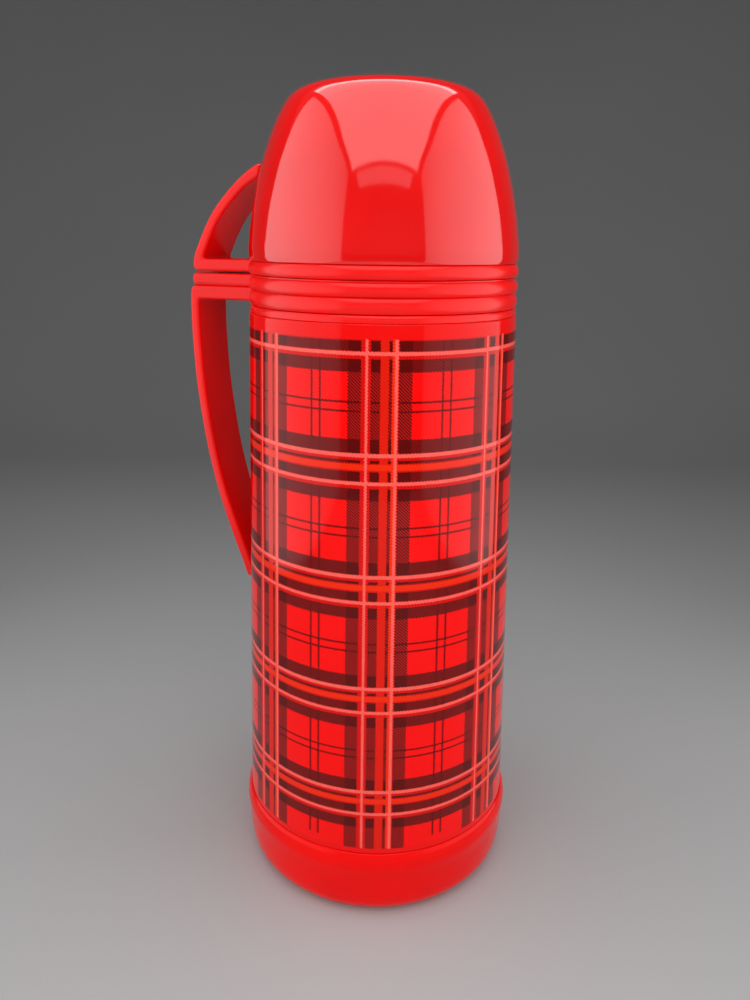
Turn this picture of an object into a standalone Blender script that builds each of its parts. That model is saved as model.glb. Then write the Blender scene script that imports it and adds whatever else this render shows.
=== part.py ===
"""Quart vacuum flask with a glass filler, a screw stopper, a handled drinking cup and a carry handle.

The flask stands on z = 0 with its axis on +Z. Both handles point along -X.
Every length below is in millimetres; MM turns it into metres.
"""
import math

import bmesh
import bpy

MM = 0.001

# Driving dimensions of the outside.
PLAID_RADIUS = 54.0         # jacket radius at the plaid's top line
PLAID_LINE_Z = 238.7        # height of that line
DRAFT = 0.0286              # the jacket widens downwards by this much per unit of height
JACKET_TOP_Z = 249.2
JACKET_SHOULDER_Z = 32.8    # the jacket steps in below this height to enter the base cap
JACKET_SKIRT_RADIUS = 57.2
JACKET_WALL = 2.2
BASE_LIP_Z = 32.4
CUP_TOP_Z = 331.8
CUP_SKIRT_Z = 268.8         # the cup's glossy wall ends here, on top of its handle band
CUP_WALL = 2.2
CUP_EDGE_Z = 263.7
BAND_TOP_Z = 263.0          # top of the carry handle's two beads
BAND_GROOVE_Z = 257.9
BAND_BOTTOM_Z = 252.1
BAND_INNER_RADIUS = 50.8
BEAD_RADIUS = 53.6
BEAD_GROOVE_RADIUS = 52.5
STRAP_WIDTH = 23.6
STRAP_ROUNDING = 1.3
ARM_ROOT = 50.9             # the handles' arms start inside their band at this radius
FIT_GAP = 0.3               # left between neighbours that touch

# Driving dimensions of the glass filler and its closure.
GLASS_RADIUS = 47.0
GLASS_WALL = 1.6
GLASS_SIDE_TOP_Z = 212.0
GLASS_SIDE_BOTTOM_Z = 64.0
INNER_GLASS_RADIUS = 43.2
INNER_GLASS_WALL = 1.5
MOUTH_Z = 262.0             # top of the outer glass's neck
NECK_RADIUS = 22.5
BORE_RADIUS = 26.0          # stopper bore in the pouring ring
LIP_Z = 283.0               # top of the pouring lip
THREAD_HEIGHT = 0.5

OUTER_STEPS = 56            # facets round the large outside pieces
INNER_STEPS = 32            # facets round the pieces inside
FLUTES = 14

# Colours as linear red, green, blue.
GLOSSY_RED = (0.70, 0.008, 0.006)
SATIN_RED = (0.60, 0.010, 0.008)
RUBBER = (0.045, 0.043, 0.042)
WHITE_PLASTIC = (0.80, 0.78, 0.72)
MIRROR_GLASS = (0.82, 0.86, 0.86)
FOAM = (0.88, 0.86, 0.80)
GREY_PAD = (0.45, 0.44, 0.42)


def clear_scene():
    """Removes every object that the new scene started with."""
    for item in list(bpy.data.objects):
        bpy.data.objects.remove(item, do_unlink=True)


def add_collection(name):
    """Makes a collection under the scene's own."""
    group = bpy.data.collections.new(name)
    bpy.context.scene.collection.children.link(group)
    return group


def add_material(name, colour, roughness, metallic=0.0):
    """Makes one Principled material."""
    paint = bpy.data.materials.new(name)
    paint.use_nodes = True
    shader = paint.node_tree.nodes["Principled BSDF"]
    shader.inputs["Base Color"].default_value = (*colour, 1.0)
    shader.inputs["Roughness"].default_value = roughness
    shader.inputs["Metallic"].default_value = metallic
    return paint


def inset(profile, distance):
    """Returns the profile moved inwards by the distance, running the other way."""
    moved = []
    last = len(profile) - 1
    for index, (radius, height) in enumerate(profile):
        before = profile[max(index - 1, 0)]
        after = profile[min(index + 1, last)]
        along_r = after[0] - before[0]
        along_z = after[1] - before[1]
        length = math.hypot(along_r, along_z)
        new_radius = radius + distance * along_z / length
        new_height = height - distance * along_r / length
        moved.append((max(new_radius, 0.0), new_height))
    return moved[::-1]


def beads(radius, crest, heights):
    """Returns thread crests as low beads on a wall, at the heights in the order given."""
    if heights[0] > heights[-1]:
        step = -0.8
    else:
        step = 0.8
    points = []
    for height in heights:
        points.append((radius, height - step))
        points.append((crest, height))
        points.append((radius, height + step))
    return points


def link(name, mesh, paint, group):
    """Puts a mesh in a collection as a named object with its own material."""
    item = bpy.data.objects.new(name, mesh)
    group.objects.link(item)
    if paint is not None:
        mesh.materials.append(paint)
    return item


def lathe(name, profile, paint, group, steps=INNER_STEPS, closed=True):
    """Turns a profile at +X about the axis; a closed one makes a ring, an open one a solid."""
    mesh = bpy.data.meshes.new(name)
    points = [(radius * MM, 0.0, height * MM) for radius, height in profile]
    edges = [(index, index + 1) for index in range(len(points) - 1)]
    if closed:
        edges.append((len(points) - 1, 0))
    mesh.from_pydata(points, edges, [])
    item = link(name, mesh, paint, group)
    screw = item.modifiers.new("turn", "SCREW")
    screw.steps = steps
    screw.render_steps = steps
    screw.use_merge_vertices = True
    screw.merge_threshold = 0.00001
    screw.use_smooth_shade = True
    return item


def bake_and_shade(item, degrees=35.0):
    """Bakes the modifiers and shades the piece smooth, except at its sharp edges."""
    graph = bpy.context.evaluated_depsgraph_get()
    mesh = bpy.data.meshes.new_from_object(item.evaluated_get(graph), depsgraph=graph)
    item.modifiers.clear()
    old = item.data
    item.data = mesh
    bpy.data.meshes.remove(old)
    mesh.name = item.name
    work = bmesh.new()
    work.from_mesh(mesh)
    bmesh.ops.remove_doubles(work, verts=work.verts, dist=0.00001)
    bmesh.ops.recalc_face_normals(work, faces=work.faces)
    work.to_mesh(mesh)
    work.free()
    mesh.shade_smooth()
    mesh.set_sharp_from_angle(angle=math.radians(degrees))


def bar(name, outline, rounding, group):
    """Makes a bar across the flask from an outline of (distance towards -X, height) points."""
    curve = bpy.data.curves.new(name, "CURVE")
    curve.dimensions = "2D"
    curve.fill_mode = "BOTH"
    curve.extrude = (STRAP_WIDTH / 2 - rounding) * MM
    curve.bevel_depth = rounding * MM
    curve.bevel_resolution = 1
    curve.offset = -rounding * MM
    spline = curve.splines.new("POLY")
    spline.points.add(len(outline) - 1)
    for point, (reach, height) in zip(spline.points, outline):
        point.co = (-reach * MM, height * MM, 0.0, 1.0)
    spline.use_cyclic_u = True
    shape = bpy.data.objects.new(name + "_curve", curve)
    group.objects.link(shape)
    graph = bpy.context.evaluated_depsgraph_get()
    mesh = bpy.data.meshes.new_from_object(shape.evaluated_get(graph), depsgraph=graph)
    bpy.data.objects.remove(shape, do_unlink=True)
    work = bmesh.new()
    work.from_mesh(mesh)
    bmesh.ops.remove_doubles(work, verts=work.verts, dist=0.00001)
    bmesh.ops.recalc_face_normals(work, faces=work.faces)
    work.to_mesh(mesh)
    work.free()
    item = link(name, mesh, None, group)
    item.rotation_euler = (math.radians(90.0), 0.0, 0.0)
    item.hide_render = True
    item.display_type = "WIRE"
    return item


def combine(target, other, operation):
    """Adds an exact Boolean to the target."""
    step = target.modifiers.new(operation.lower(), "BOOLEAN")
    step.operation = operation
    step.solver = "EXACT"
    step.object = other


def jacket_radius(height):
    """Radius of the tapered jacket at a height."""
    return PLAID_RADIUS + DRAFT * (PLAID_LINE_Z - height)


def cup_outline():
    """Outside of the cup's dome, from its flat top down to the handle band."""
    return [
        (0.0, CUP_TOP_Z),
        (23.5, CUP_TOP_Z),
        (30.3, CUP_TOP_Z - 1.1),
        (34.8, CUP_TOP_Z - 3.3),
        (37.3, CUP_TOP_Z - 5.7),
        (39.6, CUP_TOP_Z - 9.7),
        (42.4, CUP_TOP_Z - 15.1),
        (44.6, CUP_TOP_Z - 20.6),
        (46.5, CUP_TOP_Z - 26.0),
        (48.1, CUP_TOP_Z - 31.4),
        (50.5, CUP_TOP_Z - 40.0),
        (52.3, CUP_TOP_Z - 48.6),
        (53.3, CUP_TOP_Z - 57.6),
    ]


def make_cup(red, group):
    """The drinking cup that screws over the stopper, mouth down."""
    dome = cup_outline()
    inner_dome = inset(dome, CUP_WALL)
    thread_radius = 48.7
    profile = dome + [
        (53.2, 270.5),
        (52.8, CUP_SKIRT_Z),
        (50.5, CUP_SKIRT_Z),
        (50.5, CUP_EDGE_Z),
        (thread_radius, CUP_EDGE_Z),
    ]
    profile += beads(thread_radius, thread_radius - THREAD_HEIGHT, [265.2, 268.2])
    profile += [inner_dome[0]] + inner_dome[2:-1:2] + inner_dome[-2:]
    return lathe("cup_body", profile, red, group, OUTER_STEPS, closed=False)


def make_cup_band(satin, group, cutters):
    """The bead round the cup's rim that carries the cup's strap handle."""
    bead = [
        (52.4, CUP_SKIRT_Z - FIT_GAP),
        (53.2, 267.8),
        (BEAD_RADIUS, 266.1),
        (53.2, 264.4),
        (52.4, CUP_EDGE_Z),
        (BAND_INNER_RADIUS, CUP_EDGE_Z),
        (BAND_INNER_RADIUS, CUP_SKIRT_Z - FIT_GAP),
    ]
    strap = [
        (ARM_ROOT, CUP_EDGE_Z),
        (79.2, CUP_EDGE_Z),
        (80.8, 264.6),
        (81.3, 266.4),
        (80.9, 268.9),
        (80.0, 271.5),
        (78.2, 275.0),
        (75.1, 280.8),
        (71.0, 287.1),
        (65.5, 293.2),
        (58.9, 299.2),
        (53.2, 303.2),
        (49.4, 305.0),
        (47.9, 304.2),
        (48.8, 300.6),
        (50.9, 299.2),
        (56.2, 295.9),
        (62.5, 290.2),
        (67.7, 284.5),
        (71.5, 278.7),
        (74.5, 273.0),
        (76.0, 269.6),
        (75.4, CUP_SKIRT_Z - FIT_GAP),
        (ARM_ROOT, CUP_SKIRT_Z - FIT_GAP),
    ]
    band = lathe("cup_handle_band", bead, satin, group, OUTER_STEPS)
    combine(band, bar("cup_strap", strap, STRAP_ROUNDING, cutters), "UNION")
    return band


def make_carry_band(satin, group, cutters):
    """The double bead round the collar with its two arms and the carry handle's strap."""
    bead = [
        (52.4, BAND_TOP_Z),
        (53.2, 262.2),
        (BEAD_RADIUS, 260.5),
        (53.2, 258.7),
        (BEAD_GROOVE_RADIUS, BAND_GROOVE_Z),
        (53.2, 257.1),
        (BEAD_RADIUS, 255.0),
        (53.2, 252.9),
        (52.4, BAND_BOTTOM_Z),
        (BAND_INNER_RADIUS, BAND_BOTTOM_Z),
        (BAND_INNER_RADIUS, BAND_TOP_Z),
    ]
    upper_arm = [
        (ARM_ROOT, BAND_TOP_Z),
        (ARM_ROOT, BAND_GROOVE_Z - 0.2),
        (80.6, BAND_GROOVE_Z - 0.2),
        (81.5, 258.8),
        (81.9, 260.5),
        (81.5, 262.1),
        (80.4, BAND_TOP_Z),
    ]
    strap = [
        (ARM_ROOT, BAND_GROOVE_Z),
        (ARM_ROOT, BAND_BOTTOM_Z),
        (77.8, BAND_BOTTOM_Z),
        (79.2, 251.2),
        (79.5, 243.0),
        (79.4, 234.4),
        (78.6, 217.3),
        (76.6, 199.9),
        (73.7, 182.3),
        (69.2, 164.3),
        (63.0, 146.2),
        (59.4, 136.6),
        (57.8, 131.0),
        (57.9, 128.8),
        (59.3, 127.6),
        (60.8, 128.0),
        (62.0, 130.8),
        (63.4, 135.2),
        (67.0, 144.8),
        (73.2, 163.1),
        (77.8, 181.4),
        (80.8, 199.3),
        (82.8, 217.1),
        (83.6, 234.4),
        (83.7, 243.0),
        (83.5, 251.0),
        (83.1, 255.6),
        (82.3, 257.2),
        (81.0, BAND_GROOVE_Z),
    ]
    band = lathe("carry_handle_band", bead, satin, group, OUTER_STEPS)
    combine(band, bar("carry_strap", strap, STRAP_ROUNDING, cutters), "UNION")
    combine(band, bar("upper_arm", upper_arm, STRAP_ROUNDING, cutters), "UNION")
    return band


def make_collar(satin, group):
    """The moulded neck between the jacket and the cup; the carry handle's band sits round it."""
    neck = 47.4
    profile = [
        (32.0, 278.0),
        (43.0, 276.2),
        (46.4, 274.9),
        (neck, 273.2),
    ]
    profile += beads(neck, neck + THREAD_HEIGHT, [270.4, 267.2])
    profile += [
        (neck, BAND_TOP_Z),
        (50.4, BAND_TOP_Z),
        (50.4, BAND_BOTTOM_Z - FIT_GAP),
        (52.8, BAND_BOTTOM_Z - FIT_GAP),
        (53.2, 250.9),
        (52.9, JACKET_TOP_Z + FIT_GAP),
        (50.8, JACKET_TOP_Z + FIT_GAP),
        (50.8, 236.0),
        (48.8, 236.0),
        (48.2, 261.0),
        (45.0, 264.0),
        (45.0, 272.4),
        (42.6, 274.0),
        (32.0, 275.6),
    ]
    return lathe("collar", profile, satin, group, OUTER_STEPS)


def make_pouring_ring(white, group):
    """The threaded bore for the stopper, with the pouring lip on top and the seat below."""
    profile = [
        (BORE_RADIUS + 2.2, LIP_Z),
        (BORE_RADIUS + 3.0, LIP_Z - 1.4),
        (34.0, 278.6),
        (31.6, 278.3),
        (31.6, 275.2),
        (29.0, 274.6),
        (29.0, 266.6),
        (20.5, 266.6),
        (20.5, 269.0),
        (BORE_RADIUS, 269.0),
    ]
    profile += beads(BORE_RADIUS, BORE_RADIUS - THREAD_HEIGHT, [273.0, 277.0])
    profile += [(BORE_RADIUS, LIP_Z - 0.8), (BORE_RADIUS + 0.8, LIP_Z)]
    return lathe("pouring_ring", profile, white, group)


def make_jacket(red, group):
    """The tapered plastic jacket, stepped in at the bottom for the base cap."""
    top = jacket_radius(JACKET_TOP_Z)
    shoulder = jacket_radius(JACKET_SHOULDER_Z)
    skirt = JACKET_SKIRT_RADIUS
    profile = [
        (top - 0.5, JACKET_TOP_Z),
        (top, JACKET_TOP_Z - 0.6),
        (shoulder, JACKET_SHOULDER_Z),
        (skirt, JACKET_SHOULDER_Z),
    ]
    profile += beads(skirt, skirt + THREAD_HEIGHT - 0.1, [26.0, 20.0])
    profile += [
        (skirt, 13.8),
        (skirt - JACKET_WALL, 13.8),
        (skirt - JACKET_WALL, JACKET_SHOULDER_Z),
        (shoulder - JACKET_WALL, JACKET_SHOULDER_Z + JACKET_WALL),
        (top - JACKET_WALL, JACKET_TOP_Z),
    ]
    return lathe("jacket", profile, red, group, OUTER_STEPS)


def make_base_cap(red, group):
    """The screw-on base, a little proud of the jacket, with a ring rib that holds the cushion."""
    profile = [
        (60.3, BASE_LIP_Z),
        (61.1, 30.6),
        (61.7, 27.4),
        (61.8, 25.0),
        (61.2, 19.5),
        (60.8, 12.0),
        (60.1, 6.6),
        (58.7, 3.6),
        (56.6, 1.0),
        (54.4, 0.0),
        (0.0, 0.0),
    ]
    floor_side = [
        (0.0, 3.0),
        (33.6, 3.0),
        (33.6, 10.0),
        (35.6, 10.0),
        (35.6, 3.0),
        (54.0, 3.0),
        (54.0, 10.0),
        (58.1, 10.0),
        (58.1, BASE_LIP_Z),
    ]
    profile = floor_side + profile
    return lathe("base_cap", profile, red, group, OUTER_STEPS, closed=False)


def glass_bottom(radius, wall_radius, side_z):
    """Points down a round glass bottom, from the side wall in to a radius."""
    points = []
    for degrees in (20.0, 40.0, 58.0, 74.0):
        angle = math.radians(degrees)
        points.append((wall_radius * math.cos(angle), side_z - wall_radius * math.sin(angle)))
    last = math.acos(radius / wall_radius)
    points.append((radius, side_z - wall_radius * math.sin(last)))
    return points


def make_outer_glass(glass, group):
    """The outer wall of the glass filler, open at its mouth and at the sealing tip's hole."""
    outside = [
        (NECK_RADIUS, MOUTH_Z),
        (NECK_RADIUS, 250.0),
        (24.6, 245.4),
        (30.0, 240.5),
        (37.5, 235.0),
        (43.0, 228.5),
        (46.0, 221.0),
        (GLASS_RADIUS, GLASS_SIDE_TOP_Z),
        (GLASS_RADIUS, GLASS_SIDE_BOTTOM_Z),
    ]
    outside += glass_bottom(3.4, GLASS_RADIUS, GLASS_SIDE_BOTTOM_Z)
    profile = outside + inset(outside, GLASS_WALL)
    return lathe("outer_glass", profile, glass, group)


def make_inner_glass(glass, group):
    """The inner wall of the filler, which holds the drink; its lip spreads over the outer wall."""
    radius = INNER_GLASS_RADIUS
    outside = [
        (19.4, 258.0),
        (19.4, 249.0),
        (21.4, 244.0),
        (26.8, 238.6),
        (34.6, 232.8),
        (39.8, 226.6),
        (42.4, 219.6),
        (radius, 211.0),
        (radius, GLASS_SIDE_BOTTOM_Z),
    ]
    outside += glass_bottom(0.0, radius, GLASS_SIDE_BOTTOM_Z)
    lip = [
        (19.4, 264.3),
        (22.0, 264.3),
        (NECK_RADIUS, 263.3),
        (22.0, MOUTH_Z + FIT_GAP),
        (20.4, MOUTH_Z + FIT_GAP),
    ]
    inside = inset(outside, INNER_GLASS_WALL)
    inside[0] = (0.0, inside[0][1])
    profile = lip + outside + inside + [(17.9, 263.2)]
    return lathe("inner_glass", profile, glass, group)


def make_seal_tip(glass, group):
    """The glass tip left where the air was drawn out of the filler."""
    top = GLASS_SIDE_BOTTOM_Z - GLASS_RADIUS
    profile = [
        (0.0, top + 1.2),
        (2.8, top + 1.2),
        (2.8, top - 0.4),
        (3.8, top - 1.0),
        (3.4, top - 3.6),
        (1.6, top - 6.2),
        (0.0, top - 7.0),
    ]
    return lathe("glass_seal_tip", profile, glass, group, 20, closed=False)


def make_spacer(name, degrees, pad, group):
    """A pad that keeps the two glass walls apart near the filler's bottom."""
    inner = INNER_GLASS_RADIUS + FIT_GAP
    thickness = 1.3
    bpy.ops.mesh.primitive_cube_add(size=1.0)
    item = bpy.context.object
    item.name = name
    item.data.name = name
    item.data.materials.append(pad)
    for vertex in item.data.vertices:
        vertex.co.x = vertex.co.x * thickness * MM
        vertex.co.y = vertex.co.y * 8.0 * MM
        vertex.co.z = vertex.co.z * 9.0 * MM
    reach = (inner + thickness / 2) * MM
    angle = math.radians(degrees)
    item.location = (reach * math.cos(angle), reach * math.sin(angle), 78.0 * MM)
    item.rotation_euler = (0.0, 0.0, angle)
    for owner in list(item.users_collection):
        owner.objects.unlink(item)
    group.objects.link(item)
    return item


def make_rubber_rings(rubber, group):
    """The gaskets and cushions that seal the filler and hold it off the jacket."""
    rings = {
        "neck_gasket": [
            (25.0, 266.3),
            (25.0, 261.0),
            (22.9, 261.0),
            (22.9, 264.6),
            (19.6, 264.6),
            (19.6, 266.3),
        ],
        "shoulder_cushion": [
            (40.6, 235.6),
            (51.3, 235.6),
            (51.8, 214.0),
            (47.4, 214.0),
            (46.45, 221.2),
            (43.45, 228.8),
            (40.6, 232.8),
        ],
        "centring_ring": [
            (56.0, 78.0),
            (56.3, 66.0),
            (47.4, 66.0),
            (47.4, 78.0),
        ],
        "base_gasket": [
            (57.5, 13.5),
            (57.5, 10.3),
            (54.8, 10.3),
            (54.8, 13.5),
        ],
        "base_cushion": [
            (33.1, 29.6),
            (33.1, 3.3),
            (9.0, 3.3),
            (9.0, 17.0),
            (20.0, 20.7),
            (27.0, 24.8),
        ],
        "stopper_gasket": [
            (24.2, 271.2),
            (24.4, 270.2),
            (24.2, 269.3),
            (17.6, 269.3),
            (17.6, 271.2),
        ],
    }
    return [lathe(name, profile, rubber, group) for name, profile in rings.items()]


def make_stopper_shell(red, group):
    """The hollow threaded stopper with the plug that enters the glass neck."""
    body = BORE_RADIUS - 1.2
    profile = [
        (0.0, 256.6),
        (14.7, 256.6),
        (15.0, 273.4),
        (22.6, 273.4),
        (22.6, 286.0),
        (27.6, 286.0),
        (27.6, LIP_Z + 0.4),
        (body, LIP_Z + 0.4),
    ]
    profile += beads(body, body + THREAD_HEIGHT - 0.1, [279.0, 275.0])
    profile += [
        (body, 271.5),
        (17.2, 271.5),
        (16.9, 256.0),
        (15.6, 254.6),
        (0.0, 254.6),
    ]
    return lathe("stopper_shell", profile, red, group, closed=False)


def make_stopper_core(foam, group):
    """The insulating foam plug inside the stopper."""
    profile = [
        (0.0, 285.4),
        (22.2, 285.4),
        (22.2, 273.8),
        (14.4, 273.8),
        (14.3, 257.0),
        (0.0, 257.0),
    ]
    return lathe("stopper_core", profile, foam, group, closed=False)


def make_grip_cap(red, group, cutters):
    """The fluted cap that closes the stopper and gives the hand a grip."""
    profile = [
        (0.0, 302.0),
        (21.8, 302.0),
        (23.6, 301.2),
        (24.4, 299.4),
        (25.2, 289.0),
        (27.4, 287.4),
        (27.4, 286.3),
        (22.4, 286.3),
        (22.0, 299.4),
        (0.0, 299.6),
    ]
    cap = lathe("stopper_grip_cap", profile, red, group, INNER_STEPS, closed=False)
    work = bmesh.new()
    for index in range(FLUTES):
        angle = math.tau * (index + 0.5) / FLUTES
        made = bmesh.ops.create_cone(
            work,
            cap_ends=True,
            segments=12,
            radius1=2.6 * MM,
            radius2=2.6 * MM,
            depth=10.0 * MM,
        )
        centre = (26.6 * MM * math.cos(angle), 26.6 * MM * math.sin(angle), 294.4 * MM)
        bmesh.ops.translate(work, verts=made["verts"], vec=centre)
    mesh = bpy.data.meshes.new("grip_flutes")
    work.to_mesh(mesh)
    work.free()
    flutes = link("grip_flutes", mesh, None, cutters)
    flutes.hide_render = True
    flutes.display_type = "WIRE"
    combine(cap, flutes, "DIFFERENCE")
    return cap


def build():
    """Builds every piece, then bakes and shades it."""
    clear_scene()
    flask = add_collection("vacuum_flask")
    cutters = add_collection("cutters")

    glossy = add_material("glossy_red_plastic", GLOSSY_RED, 0.12)
    jacket_paint = add_material("printed_jacket_plastic", GLOSSY_RED, 0.14)
    satin = add_material("satin_red_plastic", SATIN_RED, 0.35)
    rubber = add_material("black_rubber", RUBBER, 0.7)
    white = add_material("white_plastic", WHITE_PLASTIC, 0.35)
    glass = add_material("silvered_glass", MIRROR_GLASS, 0.06, 0.9)
    foam = add_material("stopper_foam", FOAM, 0.9)
    pad = add_material("spacer_pad", GREY_PAD, 0.85)

    pieces = [
        make_cup(glossy, flask),
        make_cup_band(satin, flask, cutters),
        make_carry_band(satin, flask, cutters),
        make_collar(satin, flask),
        make_pouring_ring(white, flask),
        make_jacket(jacket_paint, flask),
        make_base_cap(glossy, flask),
        make_outer_glass(glass, flask),
        make_inner_glass(glass, flask),
        make_seal_tip(glass, flask),
        make_stopper_shell(satin, flask),
        make_stopper_core(foam, flask),
        make_grip_cap(satin, flask, cutters),
    ]
    pieces += make_rubber_rings(rubber, flask)
    for item in pieces:
        bake_and_shade(item)
    for number in range(3):
        make_spacer(f"glass_spacer_{number + 1}", 60.0 + 120.0 * number, pad, flask)


build()
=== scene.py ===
"""Looks for the vacuum flask: smooth turned pieces, the tartan print, soft light and a camera.

Lengths in the shapes are millimetres, and MM turns them into metres. The flask's axis is Z.
"""
import math

import bmesh
import bpy
from mathutils import Matrix, Vector


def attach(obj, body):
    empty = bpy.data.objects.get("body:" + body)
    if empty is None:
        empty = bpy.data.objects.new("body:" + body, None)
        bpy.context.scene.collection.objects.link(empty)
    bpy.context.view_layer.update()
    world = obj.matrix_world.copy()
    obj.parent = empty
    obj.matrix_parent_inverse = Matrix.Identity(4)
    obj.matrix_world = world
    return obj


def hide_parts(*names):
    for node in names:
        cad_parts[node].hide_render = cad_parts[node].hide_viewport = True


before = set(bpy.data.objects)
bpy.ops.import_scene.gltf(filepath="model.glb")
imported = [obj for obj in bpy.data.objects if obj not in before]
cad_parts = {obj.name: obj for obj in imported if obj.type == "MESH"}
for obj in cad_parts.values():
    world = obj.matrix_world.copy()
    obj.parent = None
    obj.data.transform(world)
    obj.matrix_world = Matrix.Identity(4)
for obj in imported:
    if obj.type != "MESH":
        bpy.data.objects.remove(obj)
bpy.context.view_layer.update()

MM = 0.001

# Sizes of the outside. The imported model's are the same, but its seam above the base is 0.5
# to 0.6 mm higher.
PLAID_RADIUS = 54.0
PLAID_LINE_Z = 238.7
DRAFT = 0.0286
JACKET_TOP_Z = 249.2
JACKET_SHOULDER_Z = 32.2
JACKET_SKIRT_RADIUS = 57.2
WALL = 2.2
BASE_LIP_Z = 31.9
CUP_TOP_Z = 331.8
CUP_SKIRT_Z = 268.8
CUP_EDGE_Z = 263.7
BAND_TOP_Z = 263.0
BAND_GROOVE_Z = 257.9
BAND_BOTTOM_Z = 252.1
BAND_INNER_RADIUS = 50.8
BEAD_ROOT_RADIUS = 52.3
BEAD_RADIUS = 53.6
RIM_Z = 263.5
STRAP_WIDTH = 23.6
STRAP_ROUNDING = 1.3
ARM_ROOT = 50.9
SEAM = 0.08                 # between pieces that are joined for good
BORE_RADIUS = 26.0
LIP_Z = 283.0
GLASS_RADIUS = 43.2
GLASS_SIDE_TOP_Z = 211.0
GLASS_SIDE_BOTTOM_Z = 64.0
FLUTES = 14
FLUTE_RADIUS = 2.7
FLUTE_CENTRE = 26.2         # distance of a flute's middle from the axis
FLUTE_MIDDLE_Z = 296.2
FLUTE_LENGTH = 14.0

# How finely the smooth pieces are made.
TURN_STEPS = 160
LONGEST_SPAN = 4.0
ARC_STEPS = 4
THREAD_STEPS = 96           # in one turn
BEAD_STEPS = 16

# A screw thread's section: half its foot, half its crest, and how deep the foot is sunk.
THREAD_HALF_FOOT = 0.9
THREAD_HALF_CREST = 0.3
THREAD_SUNK = 0.25

# The tartan. Stripes run from their start to the next one's start.
SETTS_ROUND = 7
SETT_ROUND_START = -75.5    # degrees, where a sett's first pink stripe is centred
SETT_DOWN = 46.95           # millimetres
SETT_DOWN_START = 202.6     # height of a sett's first pink line
PRINT_TOP_Z = 244.1
PRINT_BOTTOM_Z = 34.6
LINES_BOTTOM_Z = 37.9       # the thin lines stop short of the broad stripes
TWILL_LINES = 40            # diagonal threads in one sett
TWILL_RISE = 1.20           # millimetres between them up the jacket
STRIPES_ROUND = [
    (0.0, "pink"), (0.55, "red"), (1.45, "dark"), (5.1, "scarlet"), (8.25, "dark"),
    (9.45, "orange"), (10.55, "pink"), (11.75, "red"), (12.2, "dark"), (17.2, "ground"),
    (28.95, "line"), (29.85, "ground"), (32.55, "line"), (33.45, "ground"),
    (44.35, "dark"), (49.35, "red"), (50.88, "pink"),
]
STRIPES_DOWN = [
    (0.0, "pink"), (0.65, "red"), (1.7, "dark"), (2.8, "red"), (3.2, "orange"),
    (5.4, "red"), (5.9, "dark"), (9.7, "red"), (9.85, "pink"), (11.15, "red"),
    (12.4, "dark"), (16.9, "ground"), (27.25, "line"), (27.95, "ground"),
    (30.55, "line"), (31.25, "ground"), (41.0, "dark"), (46.2, "pink"),
]
# What each kind of stripe adds: dark thread, pink thread, clear red, and orange in the clear.
# A thin line counts as half as dark, so that it can be told from the broad hatched stripes.
STRIPE_CODES = {
    "ground": (0.0, 0.0, 0.0, 0.0),
    "dark": (1.0, 0.0, 0.0, 0.0),
    "line": (0.5, 0.0, 0.0, 0.0),
    "pink": (0.0, 1.0, 0.0, 0.0),
    "red": (0.0, 0.0, 1.0, 0.0),
    "scarlet": (0.0, 0.0, 1.0, 0.35),
    "orange": (0.0, 0.0, 1.0, 1.0),
}


# ---------------------------------------------------------------- shapes

def curved(points, pieces=5):
    """Returns a smooth line through the points, from the first to the last."""
    line = [points[0]]
    last = len(points) - 1
    for index in range(last):
        before = Vector(points[max(index - 1, 0)])
        start = Vector(points[index])
        end = Vector(points[index + 1])
        after = Vector(points[min(index + 2, last)])
        leave = (end - before) / 2
        arrive = (after - start) / 2
        for step in range(1, pieces + 1):
            t = step / pieces
            place = start * (2 * t**3 - 3 * t**2 + 1) + leave * (t**3 - 2 * t**2 + t)
            place += end * (3 * t**2 - 2 * t**3) + arrive * (t**3 - t**2)
            line.append(tuple(place))
    return line


def rounded(profile):
    """Turns each corner given as (radius, height, reach) into a small arc."""
    line = []
    count = len(profile)
    for index, (radius, height, *reach) in enumerate(profile):
        if not reach:
            line.append((radius, height))
            continue
        corner = Vector((radius, height))
        start = corner + (Vector(profile[index - 1][:2]) - corner).normalized() * reach[0]
        end = corner + (Vector(profile[(index + 1) % count][:2]) - corner).normalized() * reach[0]
        for step in range(ARC_STEPS + 1):
            t = step / ARC_STEPS
            line.append(tuple(start * (1 - t)**2 + corner * 2 * t * (1 - t) + end * t**2))
    return line


def divided(line, closed):
    """Adds points so that no span is longer than LONGEST_SPAN."""
    ends = line[1:]
    if closed:
        ends = ends + line[:1]
    result = []
    for start, end in zip(line, ends):
        pieces = max(1, math.ceil(math.dist(start, end) / LONGEST_SPAN))
        for step in range(pieces):
            result.append(tuple(Vector(start).lerp(Vector(end), step / pieces)))
    if not closed:
        result.append(line[-1])
    return result


def inset(profile, distance):
    """Returns the profile moved inwards, running the other way."""
    moved = []
    last = len(profile) - 1
    for index, (radius, height) in enumerate(profile):
        along = Vector(profile[min(index + 1, last)]) - Vector(profile[max(index - 1, 0)])
        along.normalize()
        moved.append((max(radius + distance * along.y, 0.0), height - distance * along.x))
    return moved[::-1]


def eased(line, passes):
    """Evens out the bends of a line, so that reflections run smoothly along it."""
    for _ in range(passes):
        middle = []
        for before, here, after in zip(line, line[1:], line[2:]):
            middle.append(tuple((Vector(before) + Vector(here) * 2 + Vector(after)) / 4))
        line = [line[0]] + middle + [line[-1]]
    return line


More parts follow.
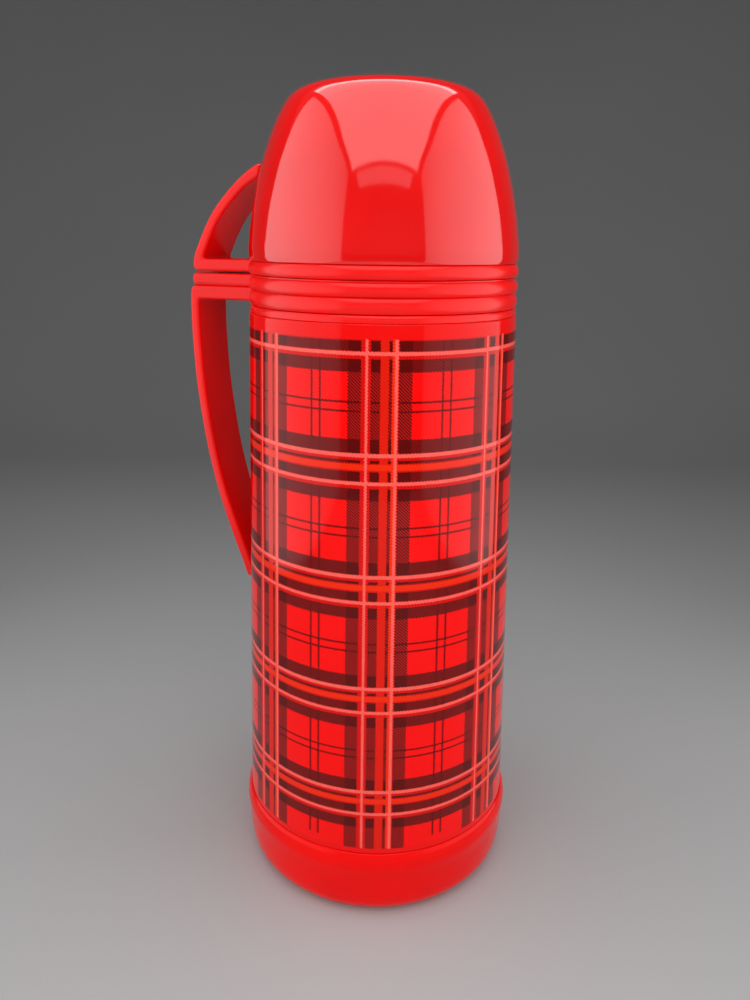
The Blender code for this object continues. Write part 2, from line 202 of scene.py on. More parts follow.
def bead(top, bottom):
    """Returns the points of one bead of the bands, which slopes above and turns in below."""
    widest = bottom + 0.40 * (top - bottom)
    depth = BEAD_RADIUS - BEAD_ROOT_RADIUS
    points = []
    for step in range(BEAD_STEPS + 1):
        angle = math.pi * (0.5 - step / BEAD_STEPS)
        if angle > 0.0:
            bulge = math.cos(angle) ** 1.6
            height = widest + (top - widest) * math.sin(angle)
        else:
            bulge = math.cos(angle)
            height = widest + (widest - bottom) * math.sin(angle)
        points.append((BEAD_ROOT_RADIUS + depth * bulge, height))
    return points


def finish_mesh(work, name, degrees=32.0):
    """Writes a bmesh to an object, smooth except at its sharp edges."""
    bmesh.ops.remove_doubles(work, verts=work.verts, dist=0.000002)
    bmesh.ops.recalc_face_normals(work, faces=work.faces)
    mesh = bpy.data.meshes.new(name)
    work.to_mesh(mesh)
    work.free()
    mesh.shade_smooth()
    mesh.set_sharp_from_angle(angle=math.radians(degrees))
    item = bpy.data.objects.new(name, mesh)
    bpy.context.scene.collection.objects.link(item)
    return item


def turned(name, profile, closed=True):
    """Turns a profile about the axis. A closed one makes a ring, an open one a solid."""
    line = divided(rounded(profile), closed)
    work = bmesh.new()
    verts = [work.verts.new((radius * MM, 0.0, height * MM)) for radius, height in line]
    edges = [work.edges.new(pair) for pair in zip(verts, verts[1:])]
    if closed:
        edges.append(work.edges.new((verts[-1], verts[0])))
    bmesh.ops.spin(
        work,
        geom=verts + edges,
        cent=(0.0, 0.0, 0.0),
        axis=(0.0, 0.0, 1.0),
        angle=math.tau,
        steps=TURN_STEPS,
        use_merge=True,
    )
    return finish_mesh(work, name)


def helix(name, radius, crest, start_z, rise, turns):
    """A screw thread whose ends fade into the wall that it stands on."""
    work = bmesh.new()
    steps = int(THREAD_STEPS * turns)
    rings = []
    for step in range(steps + 1):
        share = step / steps
        angle = math.tau * turns * share
        fade = min(1.0, share * 10.0, (1.0 - share) * 10.0)
        middle = start_z + rise * turns * share
        low = radius - math.copysign(THREAD_SUNK, crest - radius)
        top = low + (crest - low) * max(fade, 0.2)
        corners = (
            (low, -THREAD_HALF_FOOT),
            (top, -THREAD_HALF_CREST),
            (top, THREAD_HALF_CREST),
            (low, THREAD_HALF_FOOT),
        )
        ring = []
        for reach, offset in corners:
            across = reach * MM
            place = (across * math.cos(angle), across * math.sin(angle), (middle + offset) * MM)
            ring.append(work.verts.new(place))
        rings.append(ring)
    for lower, upper in zip(rings, rings[1:]):
        for index in range(4):
            after = (index + 1) % 4
            work.faces.new((lower[index], lower[after], upper[after], upper[index]))
    work.faces.new(rings[0])
    work.faces.new(rings[-1][::-1])
    return finish_mesh(work, name)


def bar(name, outline):
    """A bar across the flask, from an outline of (distance towards -X, height) points."""
    curve = bpy.data.curves.new(name, "CURVE")
    curve.dimensions = "2D"
    curve.fill_mode = "BOTH"
    curve.extrude = (STRAP_WIDTH / 2 - STRAP_ROUNDING) * MM
    curve.bevel_depth = STRAP_ROUNDING * MM
    curve.bevel_resolution = 4
    curve.offset = -STRAP_ROUNDING * MM
    spline = curve.splines.new("POLY")
    spline.points.add(len(outline) - 1)
    for point, (reach, height) in zip(spline.points, outline):
        point.co = (-reach * MM, height * MM, 0.0, 1.0)
    spline.use_cyclic_u = True
    shape = bpy.data.objects.new(name, curve)
    bpy.context.scene.collection.objects.link(shape)
    graph = bpy.context.evaluated_depsgraph_get()
    mesh = bpy.data.meshes.new_from_object(shape.evaluated_get(graph), depsgraph=graph)
    bpy.data.objects.remove(shape, do_unlink=True)
    mesh.transform(Matrix.Rotation(math.radians(90.0), 4, "X"))
    work = bmesh.new()
    work.from_mesh(mesh)
    bpy.data.meshes.remove(mesh)
    return finish_mesh(work, name)


def combined(item, others, operation="UNION", degrees=32.0):
    """Joins others to the item, or cuts them from it, with exact Booleans."""
    for other in others:
        step = item.modifiers.new(operation.lower(), "BOOLEAN")
        step.operation = operation
        step.solver = "EXACT"
        step.object = other
    graph = bpy.context.evaluated_depsgraph_get()
    mesh = bpy.data.meshes.new_from_object(item.evaluated_get(graph), depsgraph=graph)
    item.modifiers.clear()
    item.data = mesh
    mesh.shade_smooth()
    mesh.set_sharp_from_angle(angle=math.radians(degrees))
    for other in others:
        bpy.data.objects.remove(other, do_unlink=True)
    even = item.modifiers.new("even_normals", "WEIGHTED_NORMAL")
    even.keep_sharp = True
    return item


def jacket_radius(height):
    """Radius of the tapered jacket at a height."""
    return PLAID_RADIUS + DRAFT * (PLAID_LINE_Z - height)


# ---------------------------------------------------------------- pieces

def make_cup():
    """The glossy drinking cup."""
    heights = [
        (23.5, 0.0), (30.3, 1.1), (34.9, 3.3), (37.4, 5.7), (40.0, 9.7), (42.6, 15.1),
        (44.8, 20.6), (46.7, 26.0), (48.3, 31.4), (50.5, 40.0), (52.1, 48.6), (53.25, 57.6),
    ]
    dome = curved([(r, CUP_TOP_Z - down) for r, down in heights])
    dome = [(0.0, CUP_TOP_Z)] + eased(dome, 10)
    inside = inset(dome, WALL)
    inside[-1] = (0.0, inside[-2][1])
    profile = dome + [
        (53.25, 270.5),
        (52.8, CUP_SKIRT_Z, 0.35),
        (50.5, CUP_SKIRT_Z),
        (50.5, CUP_EDGE_Z, 0.3),
        (48.7, CUP_EDGE_Z, 0.3),
    ]
    cup = turned("cup_dome", profile + inside, closed=False)
    return combined(cup, [helix("cup_thread", 48.7, 48.25, 264.9, 2.3, 1.4)])


def make_cup_band():
    """The single bead round the cup's rim, with the cup's strap."""
    top = CUP_SKIRT_Z - SEAM
    ring = bead(top, CUP_EDGE_Z)
    ring += [(BAND_INNER_RADIUS, CUP_EDGE_Z), (BAND_INNER_RADIUS, top)]
    outer = curved([
        (79.2, CUP_EDGE_Z), (80.8, 264.6), (81.3, 266.4), (80.9, 268.9), (80.0, 271.5),
        (78.2, 275.0), (75.1, 280.8), (71.0, 287.1), (65.5, 293.2), (58.9, 299.2),
        (53.2, 303.2), (49.4, 305.0), (47.9, 304.2), (48.8, 300.6), (50.9, 299.2),
        (56.2, 295.9), (62.5, 290.2), (67.7, 284.5), (71.5, 278.7), (74.5, 273.0),
        (76.0, 269.6), (75.4, top),
    ], 3)
    outline = [(ARM_ROOT, CUP_EDGE_Z)] + outer + [(ARM_ROOT, top)]
    return combined(turned("cup_band", ring), [bar("cup_strap", outline)])


def make_carry_band():
    """The double bead round the collar, with the carry handle's arms and strap."""
    ring = bead(BAND_TOP_Z, BAND_GROOVE_Z)
    ring += bead(BAND_GROOVE_Z, BAND_BOTTOM_Z)[1:]
    ring += [(BAND_INNER_RADIUS, BAND_BOTTOM_Z), (BAND_INNER_RADIUS, RIM_Z)]
    ring += [(BEAD_ROOT_RADIUS - 0.2, RIM_Z, 0.1), (BEAD_ROOT_RADIUS - 0.2, BAND_TOP_Z)]
    arm = [(ARM_ROOT, BAND_TOP_Z), (ARM_ROOT, BAND_GROOVE_Z - 0.2)]
    arm += curved([
        (80.6, BAND_GROOVE_Z - 0.2), (81.5, 258.8), (81.9, 260.5), (81.5, 262.1),
        (80.4, BAND_TOP_Z),
    ], 3)
    strap = [(ARM_ROOT, BAND_GROOVE_Z), (ARM_ROOT, BAND_BOTTOM_Z)]
    strap += curved([
        (77.8, BAND_BOTTOM_Z), (79.2, 251.2), (79.5, 243.0), (79.4, 234.4), (78.6, 217.3),
        (76.6, 199.9), (73.7, 182.3), (69.2, 164.3), (63.0, 146.2), (59.4, 136.6),
        (57.8, 131.0), (57.9, 128.8), (59.3, 127.6), (60.8, 128.0), (62.0, 130.8),
        (63.4, 135.2), (67.0, 144.8), (73.2, 163.1), (77.8, 181.4), (80.8, 199.3),
        (82.8, 217.1), (83.6, 234.4), (83.7, 243.0), (83.5, 251.0), (83.1, 255.6),
        (82.3, 257.2), (81.0, BAND_GROOVE_Z),
    ], 3)
    band = turned("carry_band", ring)
    return combined(band, [bar("carry_strap", strap), bar("carry_arm", arm)])


def make_collar():
    """The neck under the cup, with the screw thread that holds the cup."""
    neck = 47.4
    profile = [
        (32.0, 278.0, 0.4),
        (43.0, 276.2, 0.8),
        (46.4, 274.9, 0.6),
        (neck, 273.2, 0.5),
        (neck, BAND_TOP_Z),
        (50.4, BAND_TOP_Z, 0.3),
        (50.4, BAND_BOTTOM_Z - SEAM),
        (52.7, BAND_BOTTOM_Z - SEAM, 0.3),
        (53.4, 250.9, 0.7),
        (53.2, JACKET_TOP_Z + SEAM, 0.2),
        (50.8, JACKET_TOP_Z + SEAM),
        (50.8, 236.0),
        (48.8, 236.0),
        (48.2, 261.0),
        (45.0, 264.0),
        (45.0, 272.4),
        (42.6, 274.0),
        (32.0, 275.6),
    ]
    collar = turned("collar_neck", profile)
    return combined(collar, [helix("collar_thread", neck, neck + 0.5, 266.2, 2.3, 1.6)])


def make_jacket():
    """The printed jacket."""
    top = jacket_radius(JACKET_TOP_Z)
    shoulder = jacket_radius(JACKET_SHOULDER_Z)
    skirt = JACKET_SKIRT_RADIUS
    profile = [
        (top - WALL, JACKET_TOP_Z),
        (top, JACKET_TOP_Z, 0.6),
        (shoulder, JACKET_SHOULDER_Z, 0.2),
        (skirt, JACKET_SHOULDER_Z),
        (skirt, 13.8, 0.3),
        (skirt - WALL, 13.8),
        (skirt - WALL, JACKET_SHOULDER_Z),
        (shoulder - WALL, JACKET_SHOULDER_Z + WALL),
    ]
    jacket = turned("jacket_wall", profile)
    return combined(jacket, [helix("jacket_thread", skirt, skirt + 0.4, 19.0, 3.2, 2.2)])


def make_base():
    """The screw-on base."""
    outside = curved([
        (59.1, BASE_LIP_Z), (59.9, 31.6), (60.5, 30.9), (61.05, 29.8), (61.6, 27.6),
        (61.8, 25.0), (61.2, 19.5), (60.8, 12.0), (60.1, 6.6), (58.7, 3.6), (56.6, 1.0),
        (54.4, 0.0),
    ])
    floor_side = [
        (0.0, 3.0), (33.6, 3.0), (33.6, 10.0, 0.5), (35.6, 10.0, 0.5), (35.6, 3.0),
        (54.0, 3.0), (54.0, 10.0), (58.1, 10.0), (58.1, BASE_LIP_Z, 0.4),
    ]
    return turned("base_cup", floor_side + outside + [(0.0, 0.0)], closed=False)


def make_pouring_ring():
    """The white threaded bore with its pouring lip."""
    profile = [
        (BORE_RADIUS + 2.2, LIP_Z, 0.6),
        (BORE_RADIUS + 3.0, LIP_Z - 1.4, 0.6),
        (34.0, 278.6, 0.4),
        (31.6, 278.3),
        (31.6, 275.2),
        (29.0, 274.6),
        (29.0, 266.6),
        (20.5, 266.6),
        (20.5, 269.0, 0.4),
        (BORE_RADIUS, 269.0),
        (BORE_RADIUS, LIP_Z, 0.6),
    ]
    ring = turned("pouring_lip", profile)
    return combined(ring, [helix("bore_thread", BORE_RADIUS, BORE_RADIUS - 0.45, 272.0, 3.4, 1.7)])


def make_stopper():
    """The threaded body of the stopper and its plug."""
    body = BORE_RADIUS - 1.2
    profile = [
        (0.0, 256.6),
        (14.7, 256.6),
        (15.0, 273.4),
        (22.6, 273.4),
        (22.6, 286.0),
        (27.6, 286.0, 0.4),
        (27.6, LIP_Z + 0.4, 0.4),
        (body, LIP_Z + 0.4),
        (body, 271.5, 0.5),
        (17.2, 271.5),
        (16.9, 256.0, 1.0),
        (15.6, 254.6, 0.8),
        (0.0, 254.6),
    ]
    shell = turned("stopper_body", profile, closed=False)
    return combined(shell, [helix("stopper_thread", body, body + 0.4, 273.4, 3.4, 1.7)])


def make_grip():
    """The fluted cap of the stopper, with a shallow dish in its top."""
    profile = [
        (0.0, 301.4),
        (15.0, 301.4, 0.8),
        (16.6, 302.0, 0.8),
        (21.8, 302.0, 1.0),
        (24.0, 300.6, 1.2),
        (25.2, 289.0, 0.8),
        (27.4, 287.4, 0.5),
        (27.4, 286.3, 0.3),
        (22.4, 286.3),
        (22.0, 299.4),
        (0.0, 299.6),
    ]
    work = bmesh.new()
    for index in range(FLUTES):
        angle = math.tau * (index + 0.5) / FLUTES
        made = bmesh.ops.create_cone(
            work,
            cap_ends=True,
            segments=32,
            radius1=FLUTE_RADIUS * MM,
            radius2=FLUTE_RADIUS * MM,
            depth=FLUTE_LENGTH * MM,
        )
        across = FLUTE_CENTRE * MM
        centre = (across * math.cos(angle), across * math.sin(angle), FLUTE_MIDDLE_Z * MM)
        bmesh.ops.translate(work, verts=made["verts"], vec=centre)
    flutes = finish_mesh(work, "grip_flutes")
    return combined(turned("stopper_grip", profile, closed=False), [flutes], "DIFFERENCE")


def make_filler():
    """The inner wall of the glass filler, seen down its neck."""
    radius = GLASS_RADIUS
    outside = curved([
        (19.4, 258.0), (19.4, 249.0), (21.4, 244.0), (26.8, 238.6), (34.6, 232.8),
        (39.8, 226.6), (42.4, 219.6), (radius, GLASS_SIDE_TOP_Z),
    ], 4)
    for degrees in range(0, 90, 6):
        angle = math.radians(degrees)
        low = GLASS_SIDE_BOTTOM_Z - radius * math.sin(angle)
        outside.append((radius * math.cos(angle), low))
    outside.append((0.0, GLASS_SIDE_BOTTOM_Z - radius))
    inside = inset(outside, 1.5)
    inside[0] = (0.0, inside[1][1])
    lip = [(22.2, 264.3, 0.5), (22.5, 262.3, 0.5), (19.4, 262.3)]
    return turned("filler_glass", lip + outside + inside + [(17.9, 264.3, 0.5)])


# ---------------------------------------------------------------- materials

class Surface:
    """A short way to write one material's nodes."""

    def __init__(self, name):
        self.material = bpy.data.materials.new(name)
        self.material.use_nodes = True
        self.tree = self.material.node_tree
        self.shader = self.tree.nodes["Principled BSDF"]
        self.place = self.add("ShaderNodeTexCoord").outputs["Object"]

    def add(self, kind):
        """Adds one node."""
        return self.tree.nodes.new(kind)

    def put(self, value, socket):
        """Links an output to the socket, or sets it to a plain value."""
        if isinstance(value, bpy.types.NodeSocket):
            self.tree.links.new(value, socket)
        else:
            socket.default_value = value

    def maths(self, operation, first, second=0.0, third=0.0):
        """Adds one Math node."""
        node = self.add("ShaderNodeMath")
        node.operation = operation
        for socket, value in zip(node.inputs, (first, second, third)):
            self.put(value, socket)
        return node.outputs[0]

    def noise(self, scale, detail=3.0, stretch=(1.0, 1.0, 1.0)):
        """Noise with about scale bumps to the metre, before the stretch."""
        resize = self.add("ShaderNodeVectorMath")
        resize.operation = "MULTIPLY"
        self.put(self.place, resize.inputs[0])
        resize.inputs[1].default_value = stretch
        node = self.add("ShaderNodeTexNoise")
        self.put(resize.outputs[0], node.inputs["Vector"])
        node.inputs["Scale"].default_value = scale
        node.inputs["Detail"].default_value = detail
        return node.outputs["Fac"]

    def spread(self, value, low, high, to_low=0.0, to_high=1.0):
        """Maps a value from one range to another, smoothly at both ends."""
        node = self.add("ShaderNodeMapRange")
        node.interpolation_type = "SMOOTHSTEP"
        for socket, given in zip(node.inputs, (value, low, high, to_low, to_high)):
            self.put(given, socket)
        return node.outputs[0]

    def mix(self, share, first, second):
        """Mixes two colours."""
        node = self.add("ShaderNodeMix")
        node.data_type = "RGBA"
        self.put(share, node.inputs[0])
        for colour, socket in ((first, node.inputs[6]), (second, node.inputs[7])):
            if isinstance(colour, tuple):
                colour = (*colour, 1.0)
            self.put(colour, socket)
        return node.outputs[2]

    def wear_and_sheen_edges(self):
        """How much an edge stands out, broken up unevenly: rubbed wear, and also a painted
        highlight along edges.
        """
        shape = self.add("ShaderNodeNewGeometry").outputs["Pointiness"]
        wear_and_sheen_edge = self.spread(shape, 0.56, 0.66)
        return self.maths("MULTIPLY", wear_and_sheen_edge, self.spread(self.noise(160.0), 0.35, 0.65))

    def scratches(self):
        """Sparse fine hairlines, some upright and some level."""
        upright = self.noise(1.0, 2.0, (900.0, 900.0, 22.0))
        level = self.noise(1.0, 2.0, (26.0, 26.0, 1100.0))
        lines = self.maths("MAXIMUM", upright, level)
        return self.spread(lines, 0.78, 0.90)

    def colour(self, value):
        """Sets the base colour."""
        if isinstance(value, tuple):
            value = (*value, 1.0)
        self.put(value, self.shader.inputs["Base Color"])

    def set(self, **values):
        """Sets plain values on the shader; an underscore stands for a space."""
        for name, value in values.items():
            self.shader.inputs[name.replace("_", " ")].default_value = value

    def roughness(self, base, drift, *extras):
        """Roughness about a base, with drift from fine noise and any extras added."""
        total = self.spread(self.noise(240.0), 0.3, 0.7, base - drift, base + drift)
        for extra, weight in extras:
            total = self.maths("MULTIPLY_ADD", extra, weight, total)
        self.put(total, self.shader.inputs["Roughness"])

    def bump(self, height, millimetres):
        """Adds relief of about that depth."""
        node = self.add("ShaderNodeBump")
        node.inputs["Strength"].default_value = 1.0
        node.inputs["Distance"].default_value = millimetres * MM
        self.put(height, node.inputs["Height"])
        self.put(node.outputs[0], self.shader.inputs["Normal"])


def moulded(name, colour, deep, worn, roughness, grain, grain_mm):
    """Moulded plastic: slow colour drift, rubbed edges lightened as wear and as a painted
    highlight, hairlines and a fine skin.

    The colours are the main one, the one that it drifts to and the one of its worn edges, a
    lighter pink that also serves as a painted highlight.
    """
    surface = Surface(name)
    wear_and_sheen_edge = surface.wear_and_sheen_edges()
    lines = surface.scratches()
    body = surface.mix(surface.spread(surface.noise(26.0), 0.35, 0.68), colour, deep)
    # Edges are lightened towards the worn colour: rubbed wear, and a painted highlight along
    # edges.
    surface.colour(surface.mix(surface.maths("MULTIPLY", wear_and_sheen_edge, 0.22), body, worn))
    surface.roughness(roughness, roughness * 0.14, (wear_and_sheen_edge, 0.05), (lines, 0.03))
    skin = surface.noise(grain, 2.0)
    surface.bump(surface.maths("MULTIPLY_ADD", lines, -0.03, skin), grain_mm)
    return surface


def cup_red():
    """The cup's polished red."""
    surface = moulded(
        "cup_red", (0.75, 0.002, 0.0015), (0.69, 0.0015, 0.001), (0.82, 0.05, 0.04),
        0.07, 70.0, 0.010,
    )
    surface.set(IOR=1.5, Specular_IOR_Level=0.85)
    return surface.material


def base_red():
    """The base's red, duller than the cup's."""
    surface = moulded(
        "base_red", (0.86, 0.002, 0.001), (0.78, 0.0015, 0.001), (0.90, 0.04, 0.03),
        0.15, 90.0, 0.012,
    )
    surface.set(IOR=1.5, Specular_IOR_Level=0.16)
    return surface.material


def satin_red():
    """The bands', straps' and stopper's satin red."""
    surface = moulded(
        "satin_red", (0.88, 0.003, 0.002), (0.78, 0.002, 0.0015), (0.92, 0.04, 0.03),
        0.24, 1500.0, 0.004,
    )
    surface.set(IOR=1.5, Specular_IOR_Level=0.36)
    return surface.material


def white_plastic():
    """The pouring ring's plastic, a little yellowed."""
    return moulded(
        "white_plastic", (0.64, 0.62, 0.56), (0.57, 0.54, 0.46), (0.72, 0.70, 0.65),
        0.32, 900.0, 0.01,
    ).material


def rubber():
    """Black rubber with a chalky bloom."""
    return moulded(
        "black_rubber", (0.030, 0.029, 0.028), (0.050, 0.048, 0.046), (0.11, 0.105, 0.10),
        0.68, 2200.0, 0.03,
    ).material


def stopper_foam():
    """Open-pored foam."""
    return moulded(
        "stopper_foam", (0.86, 0.83, 0.74), (0.76, 0.71, 0.58), (0.90, 0.88, 0.80),
        0.88, 1300.0, 0.15,
    ).material


def spacer_pad():
    """Grey pressed-fibre pads."""
    return moulded(
        "spacer_pad", (0.42, 0.41, 0.39), (0.34, 0.33, 0.31), (0.52, 0.51, 0.49),
        0.86, 1800.0, 0.06,
    ).material


def silvered_glass():
    """Mirror-silvered glass, with a faint tint and thin patches in the silver."""
    surface = Surface("silvered_glass")
    patches = surface.spread(surface.noise(60.0, 5.0), 0.62, 0.76)
    tint = surface.mix(surface.noise(14.0), (0.82, 0.87, 0.88), (0.90, 0.88, 0.82))
    surface.colour(surface.mix(patches, tint, (0.55, 0.54, 0.50)))
    surface.roughness(0.07, 0.02, (patches, 0.14))
    surface.set(Metallic=0.92, Coat_Weight=0.6, Coat_Roughness=0.03)
    surface.bump(surface.noise(45.0, 2.0), 0.02)
    return surface.material


def sett(surface, share, stripes, length):
    """Reads one direction's stripes: its dark, pink and clear threads, and the orange."""
    node = surface.add("ShaderNodeValToRGB")
    ramp = node.color_ramp
    ramp.interpolation = "CONSTANT"
    while len(ramp.elements) < len(stripes):
        ramp.elements.new(0.5)
    for element, (start, kind) in zip(ramp.elements, stripes):
        element.position = start / length
    for element, (start, kind) in zip(ramp.elements, stripes):
        element.color = STRIPE_CODES[kind]
    surface.put(share, node.inputs[0])
    split = surface.add("ShaderNodeSeparateColor")
    surface.put(node.outputs["Color"], split.inputs[0])
    return (*split.outputs[:3], node.outputs["Alpha"])


def tartan_jacket():
    """The jacket's red plastic with the tartan printed on it, under a clear gloss."""
    surface = Surface("tartan_jacket")
    maths = surface.maths
    split = surface.add("ShaderNodeSeparateXYZ")
    surface.put(surface.place, split.inputs[0])
    x, y, z = split.outputs
    degrees = maths("MULTIPLY", maths("ARCTAN2", y, x), 180.0 / math.pi)
    height = maths("MULTIPLY", z, 1.0 / MM)
    sett_degrees = 360.0 / SETTS_ROUND
    setts = maths("DIVIDE", maths("SUBTRACT", degrees, SETT_ROUND_START), sett_degrees)
    rows = maths("DIVIDE", maths("SUBTRACT", SETT_DOWN_START, height), SETT_DOWN)

    # Each thread ends in a small step, so the stripes' edges are slightly ragged.
    threads = maths("MULTIPLY", setts, float(TWILL_LINES))
    lifts = maths("DIVIDE", height, TWILL_RISE)
    fray = maths("MULTIPLY_ADD", surface.noise(1700.0, 2.0), 0.010, -0.005)
    step_round = maths("MULTIPLY_ADD", maths("PINGPONG", lifts, 0.5), 0.016, fray)
    step_down = maths("MULTIPLY_ADD", maths("PINGPONG", threads, 0.5), 0.012, fray)
    across = maths("FRACT", maths("ADD", setts, step_round))
    down = maths("FRACT", maths("ADD", rows, step_down))
    dark_a, pink_a, clear_a, orange_a = sett(surface, across, STRIPES_ROUND, sett_degrees)
    dark_d, pink_d, clear_d, orange_d = sett(surface, down, STRIPES_DOWN, SETT_DOWN)

    strongest = maths("MAXIMUM", dark_a, dark_d)
    crossing = maths("GREATER_THAN", maths("MINIMUM", dark_a, dark_d), 0.25)
    thin = maths("GREATER_THAN", strongest, 0.25)
    thin = maths("MULTIPLY", thin, maths("GREATER_THAN", height, LINES_BOTTOM_Z))
    broad = maths("GREATER_THAN", strongest, 0.75)
    upright = maths("GREATER_THAN", dark_a, 0.75)

    # Red shows between the dark threads, more in the upright stripes than in the level ones.
    twill = maths("PINGPONG", maths("ADD", threads, lifts), 0.5)
    twill = surface.spread(twill, 0.27, 0.40)
    shows = maths("MULTIPLY", twill, surface.spread(upright, 0.0, 1.0, 0.30, 0.85))
    worn = surface.noise(520.0, 3.0)
    dark = surface.mix(worn, (0.085, 0.0025, 0.002), (0.130, 0.003, 0.003))
    hatched = surface.mix(shows, dark, (0.60, 0.010, 0.008))
    solid = surface.mix(worn, (0.080, 0.002, 0.0015), (0.120, 0.002, 0.002))
    colour = surface.mix(thin, (0.88, 0.002, 0.0015), (0.16, 0.001, 0.001))
    colour = surface.mix(broad, colour, hatched)
    colour = surface.mix(crossing, colour, solid)
    orange = maths("MAXIMUM", orange_a, orange_d)
    clear = surface.mix(orange, (0.62, 0.003, 0.002), (0.80, 0.021, 0.002))
    colour = surface.mix(maths("MAXIMUM", clear_a, clear_d), colour, clear)
    pink = surface.mix(worn, (0.86, 0.075, 0.060), (0.93, 0.130, 0.105))
    colour = surface.mix(maths("MAXIMUM", pink_a, pink_d), colour, pink)

    above = maths("GREATER_THAN", height, PRINT_BOTTOM_Z)
    below = maths("LESS_THAN", maths("MULTIPLY_ADD", fray, 60.0, height), PRINT_TOP_Z)
    colour = surface.mix(maths("MULTIPLY", above, below), (0.80, 0.003, 0.002), colour)
    # Edges are lightened towards pink: rubbed wear, and a painted highlight along the rims.
    wear_and_sheen_edge = surface.wear_and_sheen_edges()
    surface.colour(surface.mix(maths("MULTIPLY", wear_and_sheen_edge, 0.4), colour, (0.86, 0.06, 0.045)))

    lines = surface.scratches()
    surface.roughness(0.10, 0.02, (lines, 0.08), (wear_and_sheen_edge, 0.1))
    surface.set(IOR=1.5, Specular_IOR_Level=0.20)
    surface.bump(maths("MULTIPLY_ADD", lines, -0.15, surface.noise(60.0, 2.0)), 0.012)
    return surface.material


def pale_floor():
    """The floor's matt paint."""
    surface = Surface("pale_floor")
    surface.colour(surface.mix(surface.noise(5.0), (0.40, 0.40, 0.405), (0.43, 0.43, 0.43)))
    surface.roughness(0.62, 0.05)
    surface.bump(surface.noise(420.0, 3.0), 0.04)
    return surface.material


# ---------------------------------------------------------------- the scene

CAMERA_TURN = math.radians(20.0)    # the camera stands this far round from -Y
CAMERA_DISTANCE = 6.2465 * PLAID_RADIUS * MM
CAMERA_HEIGHT = 0.2766
CAMERA_PITCH = math.radians(17.765)
CAMERA_YAW = math.radians(-0.369)
CAMERA_ROLL = math.radians(0.716)
CAMERA_LENS = 29.12

# Lights, in metres and watts. Places are across, away from the camera's side, and up.
SIDE_PANEL_ACROSS = 0.42
SIDE_PANEL_AWAY = -0.25
SIDE_PANEL_UP = 0.38
SIDE_PANEL_SPREAD = math.radians(135.0)     # dims their reflections towards the camera
FILL_AWAY = -0.70
FILL_UP = 0.26
OVERHEAD_STRIP_UP = 0.672

# The floor's sweep, in metres.
FLOOR_NEAR = -4.0
FLOOR_HALF_WIDTH = 4.5
FLOOR_DROP = 0.0003         # the floor is this far below the base
SWEEP_START = 0.7
SWEEP_RADIUS = 0.5
SWEEP_STEPS = 12
BACKDROP_TOP = 1.8


def seen_from_camera(across, away, up):
    """Turns a place given across and away from the camera's side into the flask's frame."""
    return Matrix.Rotation(CAMERA_TURN, 3, "Z") @ Vector((across, away, up))


def add_camera():
    """The camera, a little above the flask and looking down at it."""
    pitch, yaw, roll = CAMERA_PITCH, CAMERA_YAW, CAMERA_ROLL
    level = math.cos(pitch)
    ahead = Vector((math.sin(yaw) * level, math.cos(yaw) * level, -math.sin(pitch)))
    right = Vector((math.cos(yaw), -math.sin(yaw), 0.0))
    up = right.cross(ahead)
    tilted_right = right * math.cos(roll) + up * math.sin(roll)
    tilted_up = up * math.cos(roll) - right * math.sin(roll)
    axes = Matrix((tilted_right, tilted_up, -ahead)).transposed()
    turn = Matrix.Rotation(CAMERA_TURN, 3, "Z") @ axes
    data = bpy.data.cameras.new("camera")
    data.lens = CAMERA_LENS
    data.sensor_width = 36.0
    data.clip_start = 0.01
    camera = bpy.data.objects.new("camera", data)
    place = seen_from_camera(0.0, -CAMERA_DISTANCE, CAMERA_HEIGHT)
    camera.matrix_world = Matrix.Translation(place) @ turn.to_4x4()
    bpy.context.scene.collection.objects.link(camera)
    bpy.context.scene.camera = camera


def add_panel(name, place, target, size, power):
    """A soft light panel, of a size given as width and height, that faces a target."""
    data = bpy.data.lights.new(name, "AREA")
    data.shape = "RECTANGLE"
    data.size, data.size_y = size
    data.energy = power
    panel = bpy.data.objects.new(name, data)
    panel.location = seen_from_camera(*place)
    aim = seen_from_camera(*target) - panel.location
    panel.rotation_euler = aim.to_track_quat("-Z", "Y").to_euler()
    panel.visible_camera = False
    bpy.context.scene.collection.objects.link(panel)
    return panel


def add_lights():
    """Panels beside and above the flask, strips overhead, two front fills and a dim surround."""
    for side, name in ((-1, "left_panel"), (1, "right_panel")):
        place = (SIDE_PANEL_ACROSS * side, SIDE_PANEL_AWAY, SIDE_PANEL_UP)
        target = (0.0, SIDE_PANEL_AWAY, SIDE_PANEL_UP)
        panel = add_panel(name, place, target, size=(0.80, 0.74), power=1.65)
        panel.data.spread = SIDE_PANEL_SPREAD
    for name, across, power in (("left_fill", -0.33, 0.9), ("right_fill", 0.15, 1.7)):
        place = (across, FILL_AWAY, FILL_UP)
        fill = add_panel(name, place, (0.0, 0.0, 0.13), (0.50, 0.50), power)
        fill.visible_glossy = False
    overhead = (
        ("top_panel", -0.18, 0.68, (0.62, 0.74), 2.6),
        ("front_strip", -0.625, OVERHEAD_STRIP_UP, (0.54, 0.11), 0.13),
        ("back_strip", 0.14, OVERHEAD_STRIP_UP, (0.60, 0.06), 0.24),
    )
    for name, away, up, size, power in overhead:
        # The target is a hair further away, so that the panel's top edge has a direction.
        add_panel(name, (0.0, away, up), (0.0, away + 0.001, 0.0), size, power)
    world = bpy.data.worlds.new("surround")
    world.use_nodes = True
    back = world.node_tree.nodes["Background"]
    back.inputs[0].default_value = (0.95, 0.97, 1.0, 1.0)
    back.inputs[1].default_value = 0.12
    bpy.context.scene.world = world


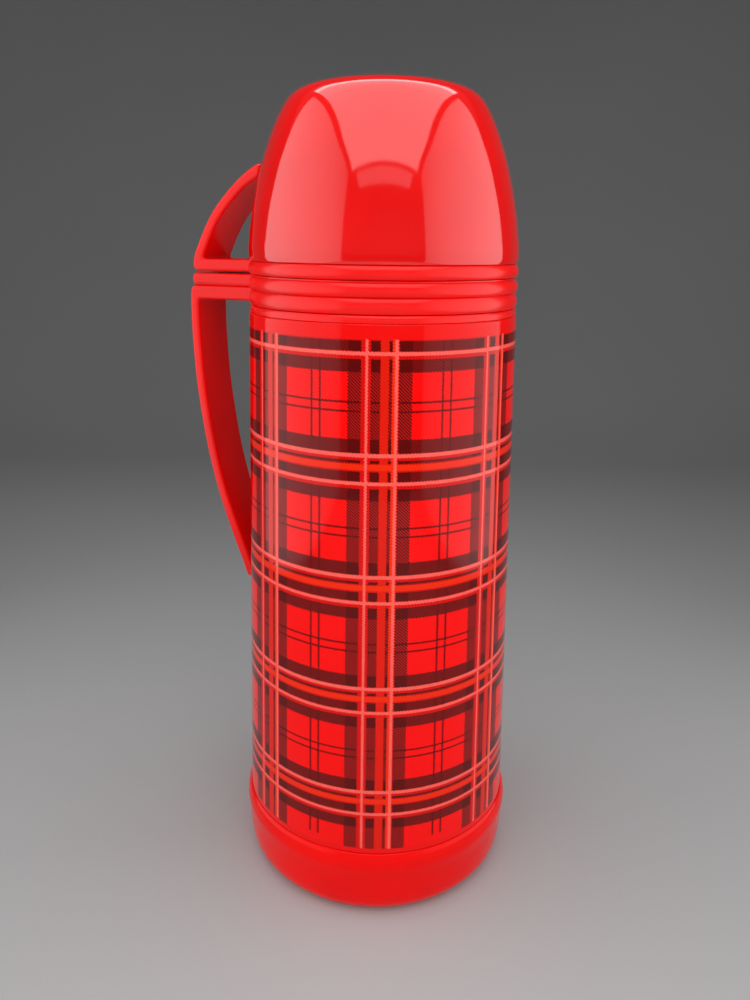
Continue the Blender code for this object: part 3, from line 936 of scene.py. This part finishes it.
def add_floor(paint):
    """A pale floor that sweeps up into a backdrop behind the flask."""
    line = [(FLOOR_NEAR, 0.0), (SWEEP_START, 0.0)]
    for step in range(1, SWEEP_STEPS + 1):
        angle = math.pi / 2 * step / SWEEP_STEPS
        away = SWEEP_START + SWEEP_RADIUS * math.sin(angle)
        line.append((away, SWEEP_RADIUS * (1.0 - math.cos(angle))))
    line.append((SWEEP_START + SWEEP_RADIUS, BACKDROP_TOP))
    work = bmesh.new()
    rows = []
    for away, up in line:
        row = []
        for side in (-FLOOR_HALF_WIDTH, FLOOR_HALF_WIDTH):
            row.append(work.verts.new(seen_from_camera(side, away, up - FLOOR_DROP)))
        rows.append(row)
    for near, far in zip(rows, rows[1:]):
        work.faces.new((near[0], near[1], far[1], far[0]))
    floor = finish_mesh(work, "floor")
    floor.data.materials.append(paint)


def dress(piece, body, nodes, paint):
    """Gives a piece its material and body, and hides the CAD nodes that it stands for."""
    piece.data.materials.clear()
    piece.data.materials.append(paint)
    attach(piece, body)
    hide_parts(*nodes)


def repaint(node, paint):
    """Gives a carried-over CAD node a finished material."""
    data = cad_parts[node].data
    data.materials.clear()
    data.materials.append(paint)


satin = satin_red()
white = white_plastic()
black = rubber()
glass = silvered_glass()

dress(make_cup(), "cup", ["cup_body"], cup_red())
dress(make_cup_band(), "cup", ["cup_handle_band"], satin)
dress(make_carry_band(), "flask", ["carry_handle_band"], satin)
dress(make_collar(), "flask", ["collar"], satin)
dress(make_jacket(), "flask", ["jacket"], tartan_jacket())
dress(make_base(), "base", ["base_cap"], base_red())
dress(make_pouring_ring(), "flask", ["pouring_ring"], white)
dress(make_stopper(), "stopper", ["stopper_shell"], satin)
dress(make_grip(), "stopper", ["stopper_grip_cap"], satin)
dress(make_filler(), "flask", ["inner_glass"], glass)

foam = stopper_foam()
pad = spacer_pad()
for node in ("outer_glass", "glass_seal_tip"):
    repaint(node, glass)
for node in ("glass_spacer_1", "glass_spacer_2", "glass_spacer_3"):
    repaint(node, pad)
rings = ("neck_gasket", "shoulder_cushion", "centring_ring", "base_gasket", "base_cushion")
for node in (*rings, "stopper_gasket"):
    repaint(node, black)
repaint("stopper_core", foam)

add_camera()
add_lights()
add_floor(pale_floor())
bpy.context.scene.view_settings.view_transform = "Standard"
